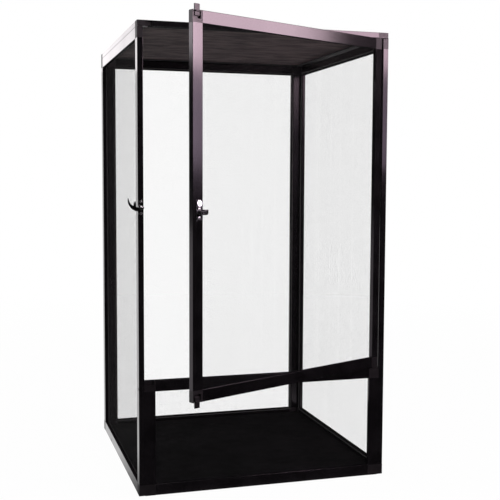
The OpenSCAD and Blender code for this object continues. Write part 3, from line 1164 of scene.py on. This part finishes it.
NODE_FINISH: dict[str, Finish] = {
    "bar": Finish.FRAME, "stile": Finish.FRAME, "rail": Finish.FRAME,
    "corners": Finish.BLOCK, "blocks": Finish.BLOCK, "bolt": Finish.BLOCK,
    "mesh": Finish.WIRE, "spline": Finish.RUBBER, "washer": Finish.RUBBER,
    "board": Finish.SHEET, "pins": Finish.STEEL, "screws": Finish.BLACK_STEEL,
    "keeper": Finish.CHROME, "plate": Finish.CHROME, "rivet": Finish.CHROME, "lever": Finish.CHROME,
}


def dress_solids() -> None:
    """Gives every CAD node the finish that the last word of its name calls for."""
    for name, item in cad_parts.items():
        FINISHES.dress(item, NODE_FINISH[name.rsplit("_", 1)[-1]])


# -------- studio

@dataclass(frozen=True)
class Softbox:
    """One soft lamp."""

    name: str
    at: tuple[float, float, float]
    towards: tuple[float, float, float]
    wide: float
    high: float
    watts: float
    colour: Colour = (1.0, 1.0, 1.0)

    def build(self) -> None:
        """Sets the lamp up."""
        data = bpy.data.lights.new(self.name, "AREA")
        data.shape = "RECTANGLE"
        data.size, data.size_y = self.wide, self.high
        data.energy = self.watts
        data.color = self.colour
        lamp = bpy.data.objects.new(self.name, data)
        lamp.location = self.at
        lamp.rotation_euler = (Vector(self.towards) - Vector(self.at)).to_track_quat("-Z", "Y").to_euler()
        bpy.context.scene.collection.objects.link(lamp)


ROSE: Colour = (1.0, 0.83, 0.88)
LILAC: Colour = (0.97, 0.85, 1.0)


@dataclass
class Studio:
    """Pale floor and backdrop, soft lamps and the camera."""

    yaw: float = 16.57
    pitch: float = -4.401
    roll: float = 0.236
    focal_px: float = 916.5
    photo_px: float = 500
    eye: tuple[float, float, float] = (-480.8, -1739.0, 539.6)
    floor_colour: Colour = (0.8, 0.8, 0.8)
    floor_white: float = 0.97
    floor_fade: tuple[float, float] = (0.5, 2.5)
    floor_limits: Limits = (("X", 0.4, 0.15), ("Y", -0.25, 0.05))
    world_light: float = 0.25
    world_limits: Limits = (("X", 0.12, 0.02), ("X", -0.30, -0.22), ("Y", 0.45, 0.8), ("Z", 0.30, 0.14))
    dim: float = 0.02
    softboxes: tuple[Softbox, ...] = (
        Softbox("right_softbox", (1.36, -1.236, 1.13), (0.19, -0.146, 1.13), 1.06, 0.42, 17, ROSE),
        Softbox("right_low_softbox", (1.36, -1.236, 0.75), (0.19, -0.146, 0.75), 1.06, 0.34, 2.94, LILAC),
        Softbox("corner_softbox", (0.39, -0.8, 0.947), (0.2, -0.2, 0.947), 0.22, 0.29, 2.45, ROSE),
        Softbox("corner_low_softbox", (0.39, -0.8, 0.684), (0.2, -0.2, 0.684), 0.22, 0.235, 0.42, LILAC),
        Softbox("rear_softbox", (-0.62, 2.6, 1.27), (-0.2, 0.0, 0.79), 0.5, 0.45, 0.85, (1.0, 0.93, 0.96)),
        Softbox("front_left_softbox", (-1.5, -1.5, 1.5), (-0.2, -0.25, 0.5), 0.8, 0.8, 9),
        Softbox("front_softbox", (0.08, -2.0, 1.65), (-0.22, -0.23, 0.49), 0.5, 0.5, 2.4),
        Softbox("top_softbox", (-0.2, -0.1, 2.6), (0, 0, 0.5), 1.6, 1.6, 17),
        Softbox("left_softbox", (-1.8, 0.45, 1.46), (-0.2, -0.2, 0.7), 1.2, 1.0, 14),
    )

    def build_camera(self) -> None:
        """Puts the camera where the photograph was taken from."""
        data = bpy.data.cameras.new("camera")
        data.sensor_width = 36.0
        data.lens = self.focal_px / self.photo_px * data.sensor_width
        data.clip_start, data.clip_end = 0.05, 60
        camera = bpy.data.objects.new("camera", data)
        yaw, pitch, roll = (radians(a) for a in (self.yaw, self.pitch, self.roll))
        ahead = Vector((sin(yaw) * cos(pitch), cos(yaw) * cos(pitch), sin(pitch)))
        right = Vector((cos(yaw), -sin(yaw), 0))
        up = right.cross(ahead)
        across, over = cos(roll) * right + sin(roll) * up, cos(roll) * up - sin(roll) * right
        place = Matrix((across, over, -ahead)).transposed().to_4x4()
        place.translation = Vector(self.eye) * MM
        camera.matrix_world = place
        bpy.context.scene.collection.objects.link(camera)
        bpy.context.scene.camera = camera

    def dim_to_white(self, bench: NodeBench, coords: str, limits: Limits) -> Socket:
        """Adds the strength that gloss sees, which rises from dim to white along some axes.

        Args:
            bench: Nodes of the floor or the world.
            coords: Which texture coordinates give the place or direction.
            limits: For each axis its letter, the last dim place and the first white one.

        Returns:
            The strength.
        """
        split = bench.add("ShaderNodeSeparateXYZ")
        bench.link(bench.add("ShaderNodeTexCoord").outputs[coords], split.inputs[0])
        rises = [bench.spread(split.outputs[axis], self.dim, 1.0, start, end) for axis, start, end in limits]
        total = rises[0]
        for rise in rises[1:]:
            product = bench.add("ShaderNodeMath")
            product.operation = "MULTIPLY"
            bench.link(total, product.inputs[0])
            bench.link(rise, product.inputs[1])
            total = product.outputs[0]
        return total

    def pale_floor(self) -> Material:
        """Makes a material that reads white to the camera, with a trace of shadow near the cage."""
        material = bpy.data.materials.new("pale_floor")
        bench = NodeBench(material)
        paths = bench.add("ShaderNodeLightPath").outputs
        lit = bench.add("ShaderNodeBsdfDiffuse", Color=(*self.floor_colour, 1))
        glow = bench.add("ShaderNodeEmission")
        strength = bench.add("ShaderNodeMix", A=1.0)
        seen = bench.add("ShaderNodeMath")
        seen.operation = "MULTIPLY_ADD"
        away = bench.add("ShaderNodeVectorMath")
        away.operation = "LENGTH"
        mix = bench.add("ShaderNodeMixShader")
        bench.link(bench.add("ShaderNodeTexCoord").outputs["Object"], away.inputs[0])
        white = bench.spread(away.outputs["Value"], self.floor_white, 1.0, *self.floor_fade)
        bench.link(paths["Is Camera Ray"], seen.inputs[0])
        bench.link(white, seen.inputs[1])
        bench.link(paths["Is Glossy Ray"], seen.inputs[2])
        bench.link(paths["Is Glossy Ray"], strength.inputs["Factor"])
        bench.link(self.dim_to_white(bench, "Object", self.floor_limits), strength.inputs["B"])
        bench.link(strength.outputs["Result"], glow.inputs["Strength"])
        bench.link(seen.outputs[0], mix.inputs["Fac"])
        bench.link(lit.outputs[0], mix.inputs[1])
        bench.link(glow.outputs[0], mix.inputs[2])
        bench.link(mix.outputs[0], bench.add("ShaderNodeOutputMaterial").inputs["Surface"])
        return material

    def build_floor(self) -> None:
        """Lays a pale floor under the cage."""
        clear_selection()
        bpy.ops.mesh.primitive_plane_add(size=16, location=(0, 0, -0.0004))
        floor = bpy.context.object
        floor.name = "floor"
        floor.data.materials.append(self.pale_floor())

    def build_world(self) -> None:
        """Makes the world white to the camera, and to gloss low behind the cage, and dim elsewhere."""
        world = bpy.data.worlds.new("studio")
        bpy.context.scene.world = world
        bench = NodeBench(world)
        background = bench.add("ShaderNodeBackground", Color=(1, 1, 1, 1))
        paths = bench.add("ShaderNodeLightPath").outputs
        by_gloss = bench.add("ShaderNodeMix", A=self.world_light)
        by_eye = bench.add("ShaderNodeMix", B=1.0)
        bench.link(paths["Is Glossy Ray"], by_gloss.inputs["Factor"])
        bench.link(self.dim_to_white(bench, "Generated", self.world_limits), by_gloss.inputs["B"])
        bench.link(paths["Is Camera Ray"], by_eye.inputs["Factor"])
        bench.link(by_gloss.outputs["Result"], by_eye.inputs["A"])
        bench.link(by_eye.outputs["Result"], background.inputs["Strength"])
        bench.link(background.outputs[0], bench.add("ShaderNodeOutputWorld").inputs["Surface"])

    def build(self) -> None:
        """Sets up the whole studio."""
        self.build_camera()
        self.build_floor()
        self.build_world()
        for softbox in self.softboxes:
            softbox.build()
        bpy.context.scene.view_settings.view_transform = "Standard"


# -------- the cage

@dataclass
class Terrarium:
    """The whole cage, built sub-assembly by sub-assembly."""

    panels: list[ScreenPanel] = field(default_factory=all_panels)
    latch: Latch = field(default_factory=Latch)
    bolts: tuple[FingerBolt, ...] = (FingerBolt("top_bolt", True), FingerBolt("bottom_bolt", False))

    def screw_sets(self) -> list[ScrewSet]:
        """Lists the screws that join the panels."""
        sets = {"left_panel_screws": side_screw_places(-1), "right_panel_screws": side_screw_places(1),
                "roof_panel_screws": roof_screw_places()}
        return [ScrewSet(name, "cage", PANEL_SCREW, places, Finish.BLACK_STEEL, "screw_black")
                for name, places in sets.items()]

    def build(self) -> None:
        """Builds every piece in order."""
        dress_solids()
        for panel in self.panels:
            panel.build()
        for screws in self.screw_sets():
            screws.build()
        self.latch.build()
        for bolt in self.bolts:
            bolt.build(self.panels[-1].place)


def main() -> None:
    """Builds the studio and the cage."""
    logging.basicConfig(level=logging.INFO, format="%(message)s")
    Studio().build()
    Terrarium().build()


if __name__ == "__main__":
    main()
